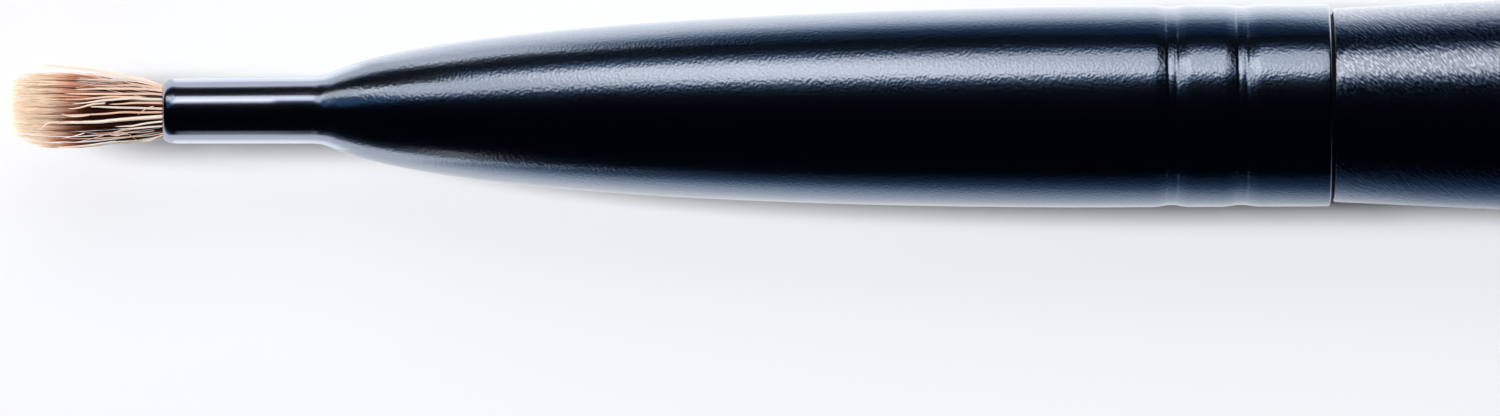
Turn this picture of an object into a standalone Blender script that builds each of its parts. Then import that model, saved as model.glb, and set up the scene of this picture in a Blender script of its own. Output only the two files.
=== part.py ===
"""Eyebrow brush on its side: natural hair tuft, drawn bullet ferrule with two crimps, sleeved wooden handle.

The brush lies along X with its hair at the low end and its butt at the high end, and rests on Z = 0.
A place along the brush is its distance behind the ferrule's mouth, so loose hair is at negative places.
"""

import math
import random

import bmesh
import bpy

MM = 0.001

# Hair
HAIR_LENGTH = 8.4 * MM  # longest hair, outside the mouth
TUFT_DIAMETER = 4.8 * MM  # at its widest
STRAND_COUNT = 330
STRAND_SIDES = 3
ROOT_SLICE_DEPTH = 0.4 * MM  # from the mouth back to the glued face that the strands stand on
ROOT_SLICE_THICKNESS = 1.0 * MM
ROOT_MARGIN = 0.09 * MM  # from the slice's edge to the middles of the outermost strands
LOCK_COUNT = 17  # bunches that the strands draw together into
LOCK_PULL_SHARE = 0.32  # of the way to its lock's middle, at a strand's tip
LOCK_PULL_POWER = 1.5  # above 1, the locks draw together late
WIDEST_SHARE = 0.68  # of the hair's length, where the tuft is widest
TIP_CLOSE_SHARE = 0.12  # of the tuft's radius, lost again at the very tip
DOME_SHARE = 0.22  # of the hair's length, by which the outermost strands are shorter
DOME_POWER = 4  # above 1, the strands shorten mostly near the rim
RAGGED_SHARE = 0.08  # of the hair's length, by which single strands are shorter
LOOSE_SHARE = 0.9  # of the tuft's radius, beyond which strands stand off
STAND_OFF_SHARE = 0.14  # of the tuft's radius, by which the loosest strands stand off
STRAND_RING_SHARES = (0.0, 0.34, 0.68)  # of the hair's length, where every strand has a ring
STRAND_FILL_SHARES = (0.9, 0.94, 0.8)  # of the distance between neighbours, filled at those rings
NEIGHBOUR_SHARE = 1.5  # distance between neighbours, of the tuft's radius over the root of the count
STRAND_SEED = 7

# Ferrule, drawn from one piece of aluminium
FERRULE_LENGTH = 63.5 * MM
FERRULE_DIAMETER = 11.0 * MM
FERRULE_WALL = 0.38 * MM  # measured square to the axis
MOUTH_DIAMETER = 3.58 * MM
NECK_DIAMETER = 3.66 * MM
NECK_LENGTH = 8.7 * MM
NECK_BLEND = 0.3 * MM  # of the small flat where the neck meets the bullet, to each side
BARREL_LENGTH = 2.2 * MM  # of full diameter between the bullet and the front crimp's hollow
BULLET_START_SHARES = (0.158, 0.969)  # of the bullet's length and rise, where the curve's first handle ends
BULLET_END_SHARES = (0.908, 1.0)  # the same for its second handle
LIP_LENGTH = 0.8 * MM  # over which the mouth's edge rounds inwards
RIM_ROUND = 0.16 * MM  # of the rear edge's outer corner

# Two crimps that lock the ferrule to the tenon
REAR_CRIMP_SETBACK = 4.84 * MM  # from the ferrule's rear edge
CRIMP_SPACING = 3.81 * MM
GROOVE_WIDTH = 0.8 * MM
GROOVE_DEPTH = 0.09 * MM
SINK_REACH = 0.75 * MM  # of the gentle hollow beyond each side of the groove
SINK_DEPTH = 0.05 * MM
OUTER_SINK_SHARES = (0.68, 1.0)  # of the hollow's half width, where the outside has corners
OUTER_GROOVE_SHARES = (0.0, 0.5, 1.0)  # of the groove's half width, where the outside has corners
BORE_SINK_SHARES = (1.0,)  # the same for the bore, which is drawn in less sharply
BORE_GROOVE_SHARES = (0.0, 1.0)

# Handle: a wooden core with a tenon, in a grained sleeve
HANDLE_LENGTH = 93.0 * MM
SHOULDER_DIAMETER = 10.53 * MM
SHOULDER_ROUND = 0.12 * MM
BELLY_DIAMETER = 12.4 * MM
BELLY_SETBACK = 28.0 * MM  # from the shoulder
BELLY_START_SHARES = (0.32, 0.46)  # of the belly's setback and rise, where the curve's first handle ends
BELLY_END_SHARES = (0.62, 1.0)  # the same for its second handle
BUTT_DIAMETER = 6.6 * MM
BUTT_ROUND = 1.5 * MM
TAPER_START_SHARES = (0.42, 0.0)  # of the taper's length and drop, where the curve's first handle ends
TAPER_END_SHARES = (0.72, 0.87)  # the same for its second handle
SLEEVE_THICKNESS = 0.25 * MM
TENON_LENGTH = 20.0 * MM
TENON_CHAMFER = 0.8 * MM

# Fits and glue
SEAT_GAP = 0.1 * MM  # between pieces that are pressed or glued together
SEAM_GAP = 0.15 * MM  # between the ferrule's rear edge and the sleeve
GLUE_FILM_THICKNESS = 0.2 * MM  # round the tenon's front
GLUE_FILM_MARGIN = 0.6 * MM  # from each end of the film to the front crimp's hollow or the tenon's chamfer

# Roots, bound with thread and set in a plug of glue behind the neck
THREAD_DIAMETER = 0.22 * MM
THREAD_TURNS = 4
TURN_GAP = 0.46 * MM  # between the thread's turns
WAIST_DEPTH = 0.3 * MM  # by which the bound stretch is drawn in
WAIST_SETBACK = 0.9 * MM  # from the neck's end to the bound stretch
WAIST_RAMP = 0.3 * MM
KNOB_LENGTH = 0.7 * MM  # of the cut hair behind the thread
PLUG_EDGE = 0.25 * MM  # thickness of the plug's front edge
PLUG_COVER = 1.6 * MM  # of glue behind the cut hair
MENISCUS_DEPTH = 0.5 * MM

# Facets
ROUND_SIDES = 32
ROOT_SIDES = 20
THREAD_POINTS_PER_TURN = 12
LIP_STEPS = 4
BULLET_STEPS = 12
BULLET_CROWDING = 1.7  # above 1, the bullet's steps crowd towards the neck
BELLY_STEPS = 5
TAPER_STEPS = 7
ARC_STEPS = 3
SOLVER_STEPS = 40
SHARP_ANGLE = math.radians(35)
WELD_DISTANCE = 0.001 * MM

# Places and radii that several pieces share
MOUTH_RADIUS = MOUTH_DIAMETER / 2
NECK_RADIUS = NECK_DIAMETER / 2
FERRULE_RADIUS = FERRULE_DIAMETER / 2
REAR_CRIMP = FERRULE_LENGTH - REAR_CRIMP_SETBACK
FRONT_CRIMP = REAR_CRIMP - CRIMP_SPACING
CRIMPS = (FRONT_CRIMP, REAR_CRIMP)
SINK_HALF = GROOVE_WIDTH / 2 + SINK_REACH
BULLET_LENGTH = FRONT_CRIMP - SINK_HALF - BARREL_LENGTH - NECK_LENGTH
SHOULDER = FERRULE_LENGTH + SEAM_GAP
BUTT = SHOULDER + HANDLE_LENGTH
TENON_FRONT = FERRULE_LENGTH - TENON_LENGTH
FILM_FRONT = TENON_FRONT + TENON_CHAMFER + GLUE_FILM_MARGIN
FILM_REAR = FRONT_CRIMP - SINK_HALF - GLUE_FILM_MARGIN
SLICE_END = ROOT_SLICE_DEPTH + ROOT_SLICE_THICKNESS
BUNDLE_FRONT = SLICE_END + SEAT_GAP
BUNDLE_RADIUS = min(MOUTH_RADIUS, NECK_RADIUS) - FERRULE_WALL - SEAT_GAP
ROOT_RADIUS = BUNDLE_RADIUS - ROOT_MARGIN
THREAD_PITCH = THREAD_DIAMETER + TURN_GAP
WAIST_START = NECK_LENGTH + WAIST_SETBACK
WAIST_END = WAIST_START + THREAD_TURNS * THREAD_PITCH + THREAD_DIAMETER + 2 * WAIST_RAMP
WAIST_RADIUS = BUNDLE_RADIUS - WAIST_DEPTH
BUNDLE_END = WAIST_END + KNOB_LENGTH
THREAD_PATH_RADIUS = WAIST_RADIUS + SEAT_GAP + THREAD_DIAMETER / 2
PLUG_BORE_RADIUS = max(BUNDLE_RADIUS, THREAD_PATH_RADIUS + THREAD_DIAMETER / 2) + SEAT_GAP
AXIS_HEIGHT = BELLY_DIAMETER / 2
BRUSH_MIDDLE = (BUTT - HAIR_LENGTH) / 2


def clear_scene():
    for item in list(bpy.data.objects):
        bpy.data.objects.remove(item)


def new_collection(name):
    collection = bpy.data.collections.new(name)
    bpy.context.scene.collection.children.link(collection)
    return collection


def finish_of(name, colour, roughness, metallic=0.0):
    """A material with one Principled shader."""
    material = bpy.data.materials.new(name)
    material.use_nodes = True
    shader = material.node_tree.nodes["Principled BSDF"]
    shader.inputs["Base Color"].default_value = (*colour, 1.0)
    shader.inputs["Roughness"].default_value = roughness
    shader.inputs["Metallic"].default_value = metallic
    return material


def spread(start, end, steps, crowding=1.0):
    """Values from start to end, both included. Crowding above 1 sets them closer together at the start."""
    return [start + (end - start) * (step / steps) ** crowding for step in range(steps + 1)]


def cubic(share, first_handle, second_handle):
    """One coordinate of the cubic Bezier curve from 0 to 1."""
    rest = 1 - share
    return 3 * rest**2 * share * first_handle + 3 * rest * share**2 * second_handle + share**3


def rise_at(share, start_shares, end_shares):
    """How far a curve from (0, 0) to (1, 1) with these handles has risen at this share of its length."""
    low, high = 0.0, 1.0
    for _ in range(SOLVER_STEPS):
        middle = (low + high) / 2
        if cubic(middle, start_shares[0], end_shares[0]) < share:
            low = middle
        else:
            high = middle
    return cubic(low, start_shares[1], end_shares[1])


def hump(offset, half_width):
    """A smooth hump, 1 at its middle and 0 beyond its half width."""
    share = abs(offset) / half_width
    return (1 + math.cos(math.pi * share)) / 2 if share < 1 else 0.0


def ferrule_radius(place):
    """The ferrule's outer radius behind its lip, with the crimps drawn in."""
    if place <= NECK_LENGTH:
        return MOUTH_RADIUS + (NECK_RADIUS - MOUTH_RADIUS) * place / NECK_LENGTH
    share = min(1.0, (place - NECK_LENGTH) / BULLET_LENGTH)
    rise = rise_at(share, BULLET_START_SHARES, BULLET_END_SHARES)
    radius = NECK_RADIUS + (FERRULE_RADIUS - NECK_RADIUS) * rise
    for crimp in CRIMPS:
        radius -= SINK_DEPTH * hump(place - crimp, SINK_HALF)
        radius -= GROOVE_DEPTH * hump(place - crimp, GROOVE_WIDTH / 2)
    return radius


def ferrule_corners(sink_shares, groove_shares):
    """Places of the ferrule's corners, with these shares of each crimp's half widths to both its sides."""
    corners = {NECK_LENGTH - NECK_BLEND}
    bullet_start = NECK_LENGTH + NECK_BLEND
    corners.update(spread(bullet_start, NECK_LENGTH + BULLET_LENGTH, BULLET_STEPS, BULLET_CROWDING))
    for crimp in CRIMPS:
        for side in (-1, 1):
            corners.update(crimp + side * share * SINK_HALF for share in sink_shares)
            corners.update(crimp + side * share * GROOVE_WIDTH / 2 for share in groove_shares)
    return sorted(corners)


OUTER_CORNERS = ferrule_corners(OUTER_SINK_SHARES, OUTER_GROOVE_SHARES)
BORE_CORNERS = [0.0, *ferrule_corners(BORE_SINK_SHARES, BORE_GROOVE_SHARES), FERRULE_LENGTH]


def bore_radius(place):
    """The ferrule's inner radius, straight between its corners as the faceted bore is."""
    for front, rear in zip(BORE_CORNERS, BORE_CORNERS[1:]):
        if place <= rear:
            break
    share = min(1.0, (place - front) / (rear - front))
    front_radius = ferrule_radius(front) - FERRULE_WALL
    rear_radius = ferrule_radius(rear) - FERRULE_WALL
    return front_radius + (rear_radius - front_radius) * share


def along_bore(front, rear, inset):
    """An outline that follows the bore from front to rear, drawn in by inset, with the bore's own corners."""
    corners = [place for place in BORE_CORNERS if front < place < rear]
    return [(place, bore_radius(place) - inset) for place in [front, *corners, rear]]


def place_where_bore_reaches(radius):
    """The place in the bullet where the bore has widened to this radius."""
    low, high = NECK_LENGTH, NECK_LENGTH + BULLET_LENGTH
    for _ in range(SOLVER_STEPS):
        middle = (low + high) / 2
        if bore_radius(middle) < radius:
            low = middle
        else:
            high = middle
    return high


def handle_radius(place):
    """The sleeve's outer radius, without the butt's rounding."""
    back = place - SHOULDER
    if back <= BELLY_SETBACK:
        rise = rise_at(back / BELLY_SETBACK, BELLY_START_SHARES, BELLY_END_SHARES)
        return (SHOULDER_DIAMETER + (BELLY_DIAMETER - SHOULDER_DIAMETER) * rise) / 2
    taper_length = HANDLE_LENGTH - BUTT_ROUND - BELLY_SETBACK
    drop = rise_at((back - BELLY_SETBACK) / taper_length, TAPER_START_SHARES, TAPER_END_SHARES)
    return (BELLY_DIAMETER - (BELLY_DIAMETER - BUTT_DIAMETER) * drop) / 2


def handle_outline(inset):
    """The handle's outline from its shoulder to the middle of its butt, drawn in by inset."""
    belly = SHOULDER + BELLY_SETBACK
    places = spread(SHOULDER, belly, BELLY_STEPS)
    places += spread(belly, BUTT - BUTT_ROUND, TAPER_STEPS)[1:]
    outline = [(place, handle_radius(place) - inset) for place in places]
    arc_radius = BUTT_ROUND - inset
    for turn in spread(0.0, math.pi / 2, ARC_STEPS)[1:]:
        along = BUTT - BUTT_ROUND + arc_radius * math.sin(turn)
        outline.append((along, BUTT_DIAMETER / 2 - BUTT_ROUND + arc_radius * math.cos(turn)))
    outline.append((BUTT - inset, 0.0))
    return outline


def evaluated_mesh(piece):
    """The mesh that the object's modifiers or bevel make."""
    bpy.context.view_layer.update()
    graph = bpy.context.evaluated_depsgraph_get()
    return bpy.data.meshes.new_from_object(piece.evaluated_get(graph))


def placed(piece, material, carrier, origin):
    """Sets a finished piece on the brush's axis, with its origin at this place, and shades it."""
    piece.data.materials.clear()
    piece.data.materials.append(material)
    piece.data.shade_smooth()
    piece.data.set_sharp_from_angle(angle=SHARP_ANGLE)
    piece.parent = carrier
    piece.location = (0.0, 0.0, origin)
    return piece


def turned(name, outline, sides, collection):
    """A turned solid from an outline of (place, radius), which runs to the rear outside and back inside."""
    origin = outline[0][0]
    points = [(radius, 0.0, place - origin) for place, radius in reversed(outline)]
    edges = []
    for index in range(len(points)):
        following = (index + 1) % len(points)
        if points[index][0] > 0 or points[following][0] > 0:
            edges.append((index, following))
    mesh = bpy.data.meshes.new(name)
    mesh.from_pydata(points, edges, [])
    piece = bpy.data.objects.new(name, mesh)
    collection.objects.link(piece)
    screw = piece.modifiers.new("Turn", "SCREW")
    screw.axis = "Z"
    screw.steps = sides
    screw.render_steps = sides
    screw.use_merge_vertices = True
    screw.merge_threshold = WELD_DISTANCE
    piece.data = evaluated_mesh(piece)
    piece.modifiers.clear()
    return piece


def make_ferrule(parts, carrier, material):
    """The drawn shell: rounded mouth, neck, bullet, two crimps and a rounded rear edge."""
    outline = []
    for turn in spread(0.0, math.pi / 2, LIP_STEPS):
        lip_radius = MOUTH_RADIUS - FERRULE_WALL * (1 - math.sin(turn))
        outline.append((LIP_LENGTH * (1 - math.cos(turn)), lip_radius))
    outline += [(place, ferrule_radius(place)) for place in OUTER_CORNERS]
    for turn in spread(0.0, math.pi / 2, ARC_STEPS):
        along = FERRULE_LENGTH - RIM_ROUND * (1 - math.sin(turn))
        outline.append((along, FERRULE_RADIUS - RIM_ROUND * (1 - math.cos(turn))))
    outline += reversed(along_bore(NECK_LENGTH - NECK_BLEND, FERRULE_LENGTH, 0.0))
    return placed(turned("ferrule", outline, ROUND_SIDES, parts), material, carrier, 0.0)


def make_sleeve(parts, carrier, material):
    """The grained sleeve: a long cup, open at the shoulder and closed over the butt."""
    outside = handle_outline(0.0)
    rounding = (SHOULDER + SHOULDER_ROUND, handle_radius(SHOULDER + SHOULDER_ROUND))
    outside[0] = (SHOULDER, outside[0][1] - SHOULDER_ROUND)
    outside.insert(1, rounding)
    outline = outside + list(reversed(handle_outline(SLEEVE_THICKNESS)))
    return placed(turned("handle_sleeve", outline, ROUND_SIDES, parts), material, carrier, SHOULDER)


def make_core(parts, carrier, material):
    """The wooden core: chamfered tenon, stepped down for the glue film, then the body inside the sleeve."""
    relief = 2 * SEAT_GAP + GLUE_FILM_THICKNESS
    relief_end = FILM_REAR + SEAT_GAP
    outline = [(TENON_FRONT, 0.0), (TENON_FRONT, bore_radius(TENON_FRONT) - relief - TENON_CHAMFER)]
    outline += along_bore(TENON_FRONT + TENON_CHAMFER, relief_end, relief)
    outline += along_bore(relief_end, SHOULDER - SEAT_GAP, SEAT_GAP)
    body = handle_outline(SLEEVE_THICKNESS + SEAT_GAP)
    outline.append((SHOULDER - SEAT_GAP, body[0][1]))
    outline += body[1:]
    return placed(turned("handle_core", outline, ROUND_SIDES, parts), material, carrier, TENON_FRONT)


def make_glue_film(parts, carrier, material):
    """The thin ring of glue between the ferrule and the tenon's front."""
    outline = along_bore(FILM_FRONT, FILM_REAR, SEAT_GAP)
    outline += reversed(along_bore(FILM_FRONT, FILM_REAR, SEAT_GAP + GLUE_FILM_THICKNESS))
    return placed(turned("tenon_glue_film", outline, ROUND_SIDES, parts), material, carrier, FILM_FRONT)


def make_root_bundle(parts, carrier, material):
    """The glued hair roots: a rod through the neck, drawn in under the thread, with a cut knob behind it."""
    outline = [
        (BUNDLE_FRONT, 0.0),
        (BUNDLE_FRONT, BUNDLE_RADIUS),
        (WAIST_START, BUNDLE_RADIUS),
        (WAIST_START + WAIST_RAMP, WAIST_RADIUS),
        (WAIST_END - WAIST_RAMP, WAIST_RADIUS),
        (WAIST_END, BUNDLE_RADIUS),
        (BUNDLE_END, BUNDLE_RADIUS),
        (BUNDLE_END, 0.0),
    ]
    return placed(turned("hair_root_bundle", outline, ROOT_SIDES, parts), material, carrier, BUNDLE_FRONT)


def make_glue_plug(parts, carrier, material):
    """The plug of glue that fills the bullet's front round the bound roots, with a hollowed rear face."""
    front = place_where_bore_reaches(PLUG_BORE_RADIUS + PLUG_EDGE + SEAT_GAP)
    rear = BUNDLE_END + PLUG_COVER
    outline = along_bore(front, rear, SEAT_GAP)
    edge_radius = outline[-1][1]
    for share in spread(1.0, 0.0, ARC_STEPS)[1:]:
        outline.append((rear - MENISCUS_DEPTH * (1 - share**2), edge_radius * share))
    bore_end = BUNDLE_END + SEAT_GAP
    outline += [(bore_end, 0.0), (bore_end, PLUG_BORE_RADIUS), (front, PLUG_BORE_RADIUS)]
    return placed(turned("root_glue_plug", outline, ROUND_SIDES, parts), material, carrier, front)


def thread_points():
    """The thread's route: turns round the waist at a steady rise, with a straight end on each side."""
    points = []
    for step in range(THREAD_TURNS * THREAD_POINTS_PER_TURN + 1):
        turns = step / THREAD_POINTS_PER_TURN
        angle = 2 * math.pi * turns
        across = (THREAD_PATH_RADIUS * math.cos(angle), THREAD_PATH_RADIUS * math.sin(angle))
        points.append((*across, THREAD_PITCH * turns))
    points.insert(0, (THREAD_PATH_RADIUS, -THREAD_DIAMETER, 0.0))
    points.append((THREAD_PATH_RADIUS, THREAD_DIAMETER, THREAD_PITCH * THREAD_TURNS))
    return points


def least_gap_between_turns(points):
    """The least gap from the thread to itself, between points at least half a turn apart."""
    apart = THREAD_POINTS_PER_TURN // 2
    distances = []
    for index, point in enumerate(points):
        distances += [math.dist(point, other) for other in points[index + apart :]]
    return min(distances) - THREAD_DIAMETER


def make_thread(parts, carrier, material):
    """The thread that binds the roots, one unbroken tube."""
    points = thread_points()
    print(f"least gap between turns of the thread: {least_gap_between_turns(points) / MM:.3f} mm")
    curve = bpy.data.curves.new("root_binding_thread", "CURVE")
    curve.dimensions = "3D"
    curve.bevel_depth = THREAD_DIAMETER / 2
    curve.bevel_resolution = 1
    curve.use_fill_caps = True
    curve.materials.append(material)
    spline = curve.splines.new("POLY")
    spline.points.add(len(points) - 1)
    for knot, point in zip(spline.points, points):
        knot.co = (*point, 1.0)
    piece = bpy.data.objects.new("root_binding_thread", curve)
    parts.objects.link(piece)
    piece.parent = carrier
    piece.location = (0.0, 0.0, WAIST_START + WAIST_RAMP + THREAD_DIAMETER / 2)
    return piece


def sunflower(count):
    """Evenly packed points in the unit disc."""
    golden_angle = math.pi * (3 - math.sqrt(5))
    points = []
    for index in range(count):
        radius = math.sqrt((index + 0.5) / count)
        angle = index * golden_angle
        points.append((radius * math.cos(angle), radius * math.sin(angle)))
    return points


def tuft_radius(share):
    """The radius that the outermost strands keep, at this share of the hair's length from the mouth."""
    swell = math.sin(math.pi / 2 * min(1.0, share / WIDEST_SHARE))
    radius = ROOT_RADIUS + (TUFT_DIAMETER / 2 - ROOT_RADIUS) * swell
    past_widest = max(0.0, share - WIDEST_SHARE) / (1 - WIDEST_SHARE)
    return radius * (1 - TIP_CLOSE_SHARE * past_widest**2)


def lock_pull(share):
    """How far the strands have drawn in towards their lock's middle, at this share of the hair's length."""
    return LOCK_PULL_SHARE * share**LOCK_PULL_POWER


def strand_diameter(share, fill_share):
    """A strand's diameter where it fills this share of the distance between neighbours."""
    lock_scale = 1 - lock_pull(share)
    neighbour_distance = NEIGHBOUR_SHARE * lock_scale * tuft_radius(share) / math.sqrt(STRAND_COUNT)
    return fill_share * neighbour_distance


def strand_length_shares(roots):
    """Each strand's share of the hair's length: shorter near the rim, a little ragged, the longest 1."""
    draw = random.Random(STRAND_SEED)
    shares = []
    for root in roots:
        dome = DOME_SHARE * math.hypot(*root) ** DOME_POWER
        shares.append(1 - dome - RAGGED_SHARE * draw.random())
    return [share / max(shares) for share in shares]


def strand_route(root, lock, length_share, stand_off):
    """A strand's middles and diameters. Locks are cells of the disc, so strands that draw in never cross."""
    root_diameter = strand_diameter(0.0, STRAND_FILL_SHARES[0])
    slice_middle = (ROOT_SLICE_DEPTH + SLICE_END) / 2
    route = [(root[0] * ROOT_RADIUS, root[1] * ROOT_RADIUS, slice_middle, root_diameter)]
    for share, fill_share in [*zip(STRAND_RING_SHARES, STRAND_FILL_SHARES), (length_share, 0.0)]:
        reach = tuft_radius(share) * (1 + stand_off * share**2)
        across = [(own + (middle - own) * lock_pull(share)) * reach for own, middle in zip(root, lock)]
        route.append((*across, -share * HAIR_LENGTH, strand_diameter(share, fill_share)))
    return route


def tuft_routes():
    """Every strand's route."""
    draw = random.Random(STRAND_SEED)
    roots = sunflower(STRAND_COUNT)
    locks = sunflower(LOCK_COUNT)
    routes = []
    for root, length_share in zip(roots, strand_length_shares(roots)):
        lock = min(locks, key=lambda middle: math.dist(middle, root))
        looseness = max(0.0, math.hypot(*root) - LOOSE_SHARE) / (1 - LOOSE_SHARE)
        stand_off = STAND_OFF_SHARE * looseness * draw.random()
        routes.append(strand_route(root, lock, length_share, stand_off))
    return routes


def least_gap_between_strands(routes):
    """The least gap between any two strands, measured where every strand has a ring."""
    gaps = []
    for index, route in enumerate(routes):
        for other in routes[index + 1 :]:
            for (*point, diameter), (*other_point, other_diameter) in zip(route, other):
                gaps.append(math.dist(point, other_point) - (diameter + other_diameter) / 2)
    return min(gaps)


def make_section(guides):
    """The outline of a strand's cross-section, of unit diameter."""
    curve = bpy.data.curves.new("strand_section", "CURVE")
    spline = curve.splines.new("POLY")
    spline.points.add(STRAND_SIDES - 1)
    for index, knot in enumerate(spline.points):
        angle = 2 * math.pi * index / STRAND_SIDES
        knot.co = (math.cos(angle) / 2, math.sin(angle) / 2, 0.0, 1.0)
    spline.use_cyclic_u = True
    section = bpy.data.objects.new("strand_section", curve)
    guides.objects.link(section)
    section.hide_render = True
    section.display_type = "WIRE"
    return section


def weld(mesh):
    """Closes a bevelled curve's loose caps and its pointed ends."""
    shape = bmesh.new()
    shape.from_mesh(mesh)
    bmesh.ops.remove_doubles(shape, verts=shape.verts, dist=WELD_DISTANCE)
    bmesh.ops.dissolve_degenerate(shape, dist=WELD_DISTANCE, edges=shape.edges)
    bmesh.ops.recalc_face_normals(shape, faces=shape.faces)
    shape.to_mesh(mesh)
    shape.free()


def make_bare_strands(guides):
    """The strands alone, as one mesh of separate pointed hairs."""
    routes = tuft_routes()
    print(f"least gap between strands: {least_gap_between_strands(routes) / MM:.3f} mm")
    curve = bpy.data.curves.new("bare_strands", "CURVE")
    curve.dimensions = "3D"
    curve.bevel_mode = "OBJECT"
    curve.bevel_object = make_section(guides)
    curve.use_fill_caps = True
    for route in routes:
        spline = curve.splines.new("POLY")
        spline.points.add(len(route) - 1)
        for knot, (*point, diameter) in zip(spline.points, route):
            knot.co = (*point, 1.0)
            knot.radius = diameter
    bare_curve = bpy.data.objects.new("bare_strands", curve)
    guides.objects.link(bare_curve)
    mesh = evaluated_mesh(bare_curve)
    bpy.data.objects.remove(bare_curve)
    weld(mesh)
    return mesh


def make_tuft(parts, guides, carrier, material):
    """The tuft: pointed strands joined to the slice of glued roots that they stand on."""
    tuft = bpy.data.objects.new("hair_tuft", make_bare_strands(guides))
    parts.objects.link(tuft)
    slice_outline = [
        (ROOT_SLICE_DEPTH, 0.0),
        (ROOT_SLICE_DEPTH, BUNDLE_RADIUS),
        (SLICE_END, BUNDLE_RADIUS),
        (SLICE_END, 0.0),
    ]
    root_slice = turned("root_slice", slice_outline, ROOT_SIDES, guides)
    root_slice.location = (0.0, 0.0, ROOT_SLICE_DEPTH)
    root_slice.hide_render = True
    root_slice.display_type = "WIRE"
    join = tuft.modifiers.new("Join to the root slice", "BOOLEAN")
    join.operation = "UNION"
    join.object = root_slice
    tuft.data = evaluated_mesh(tuft)
    tuft.modifiers.clear()
    return placed(tuft, material, carrier, 0.0)


def make_brush():
    """The whole brush, its parts carried by an empty on its axis at the ferrule's mouth."""
    clear_scene()
    parts = new_collection("eyebrow_brush")
    guides = new_collection("guides")
    carrier = bpy.data.objects.new("brush_axis", None)
    parts.objects.link(carrier)
    carrier.rotation_euler = (0.0, math.pi / 2, 0.0)
    carrier.location = (-BRUSH_MIDDLE, 0.0, AXIS_HEIGHT)

    hair = finish_of("natural hair", (0.62, 0.36, 0.22), 0.55)
    roots = finish_of("glued hair roots", (0.30, 0.15, 0.08), 0.5)
    thread = finish_of("binding thread", (0.75, 0.72, 0.66), 0.8)
    glue = finish_of("cured glue", (0.62, 0.45, 0.20), 0.2)
    lacquered_metal = finish_of("black lacquered aluminium", (0.004, 0.006, 0.012), 0.3, 0.4)
    wood = finish_of("handle wood", (0.55, 0.38, 0.22), 0.6)
    grained_skin = finish_of("black grained skin", (0.006, 0.007, 0.012), 0.45)

    make_tuft(parts, guides, carrier, hair)
    make_root_bundle(parts, carrier, roots)
    make_thread(parts, carrier, thread)
    make_glue_plug(parts, carrier, glue)
    make_ferrule(parts, carrier, lacquered_metal)
    make_glue_film(parts, carrier, glue)
    make_core(parts, carrier, wood)
    make_sleeve(parts, carrier, grained_skin)


make_brush()
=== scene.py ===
"""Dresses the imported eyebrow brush: fine shell, grained handle skin, full hair, materials, light and camera.

The brush lies along X with its hair towards -X. A place along it is its distance behind the ferrule's mouth,
as in the CAD.
"""

import math
import random
from collections import namedtuple

import bmesh
import bpy
from mathutils import Matrix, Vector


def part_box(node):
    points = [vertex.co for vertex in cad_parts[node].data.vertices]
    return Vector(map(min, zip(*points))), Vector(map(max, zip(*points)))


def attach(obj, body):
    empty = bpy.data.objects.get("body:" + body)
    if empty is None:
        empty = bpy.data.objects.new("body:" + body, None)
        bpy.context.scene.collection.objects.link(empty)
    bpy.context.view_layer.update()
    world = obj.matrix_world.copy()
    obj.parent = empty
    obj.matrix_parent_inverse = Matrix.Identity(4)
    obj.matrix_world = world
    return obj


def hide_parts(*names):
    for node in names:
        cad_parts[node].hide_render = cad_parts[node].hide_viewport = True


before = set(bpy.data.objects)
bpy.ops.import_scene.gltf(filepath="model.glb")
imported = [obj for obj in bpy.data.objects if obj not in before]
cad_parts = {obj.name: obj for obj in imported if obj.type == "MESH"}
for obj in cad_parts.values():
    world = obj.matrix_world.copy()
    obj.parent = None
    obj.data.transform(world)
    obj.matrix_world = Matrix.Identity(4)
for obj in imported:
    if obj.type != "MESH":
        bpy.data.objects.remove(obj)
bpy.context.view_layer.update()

MM = 0.001

# Sizes read from the CAD's parts in model.glb
FERRULE_LOW, FERRULE_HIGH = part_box("ferrule")
SLEEVE_LOW, SLEEVE_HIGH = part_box("handle_sleeve")
MOUTH = FERRULE_LOW.x
AXIS_HEIGHT = (FERRULE_LOW.z + FERRULE_HIGH.z) / 2
FERRULE_LENGTH = FERRULE_HIGH.x - MOUTH
FERRULE_RADIUS = FERRULE_HIGH.z - AXIS_HEIGHT
SHOULDER = SLEEVE_LOW.x - MOUTH
BUTT = SLEEVE_HIGH.x - MOUTH
BELLY_RADIUS = SLEEVE_HIGH.z - AXIS_HEIGHT
HAIR_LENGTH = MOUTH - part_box("hair_tuft")[0].x

# Sizes that repeat the CAD's
FERRULE_WALL = 0.38 * MM
MOUTH_RADIUS = 1.79 * MM
NECK_RADIUS = 1.83 * MM
NECK_LENGTH = 8.7 * MM
BULLET_LENGTH = 42.8 * MM
BULLET_START_SHARES = (0.158, 0.969)  # of the bullet's length and rise, where the curve's first handle ends
BULLET_END_SHARES = (0.908, 1.0)  # the same for its second handle
LIP_LENGTH = 0.8 * MM
RIM_ROUND = 0.16 * MM
REAR_CRIMP_SETBACK = 4.84 * MM  # from the ferrule's rear edge
CRIMP_SPACING = 3.81 * MM
REAR_CRIMP = FERRULE_LENGTH - REAR_CRIMP_SETBACK
CRIMPS = (REAR_CRIMP - CRIMP_SPACING, REAR_CRIMP)
SHOULDER_RADIUS = 5.265 * MM
SHOULDER_ROUND = 0.12 * MM
BELLY_SETBACK = 28.0 * MM  # from the shoulder
BELLY_START_SHARES = (0.32, 0.46)
BELLY_END_SHARES = (0.62, 1.0)
BUTT_RADIUS = 3.3 * MM
BUTT_ROUND = 1.5 * MM
TAPER_START_SHARES = (0.42, 0.0)
TAPER_END_SHARES = (0.72, 0.87)
SLEEVE_THICKNESS = 0.25 * MM

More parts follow.
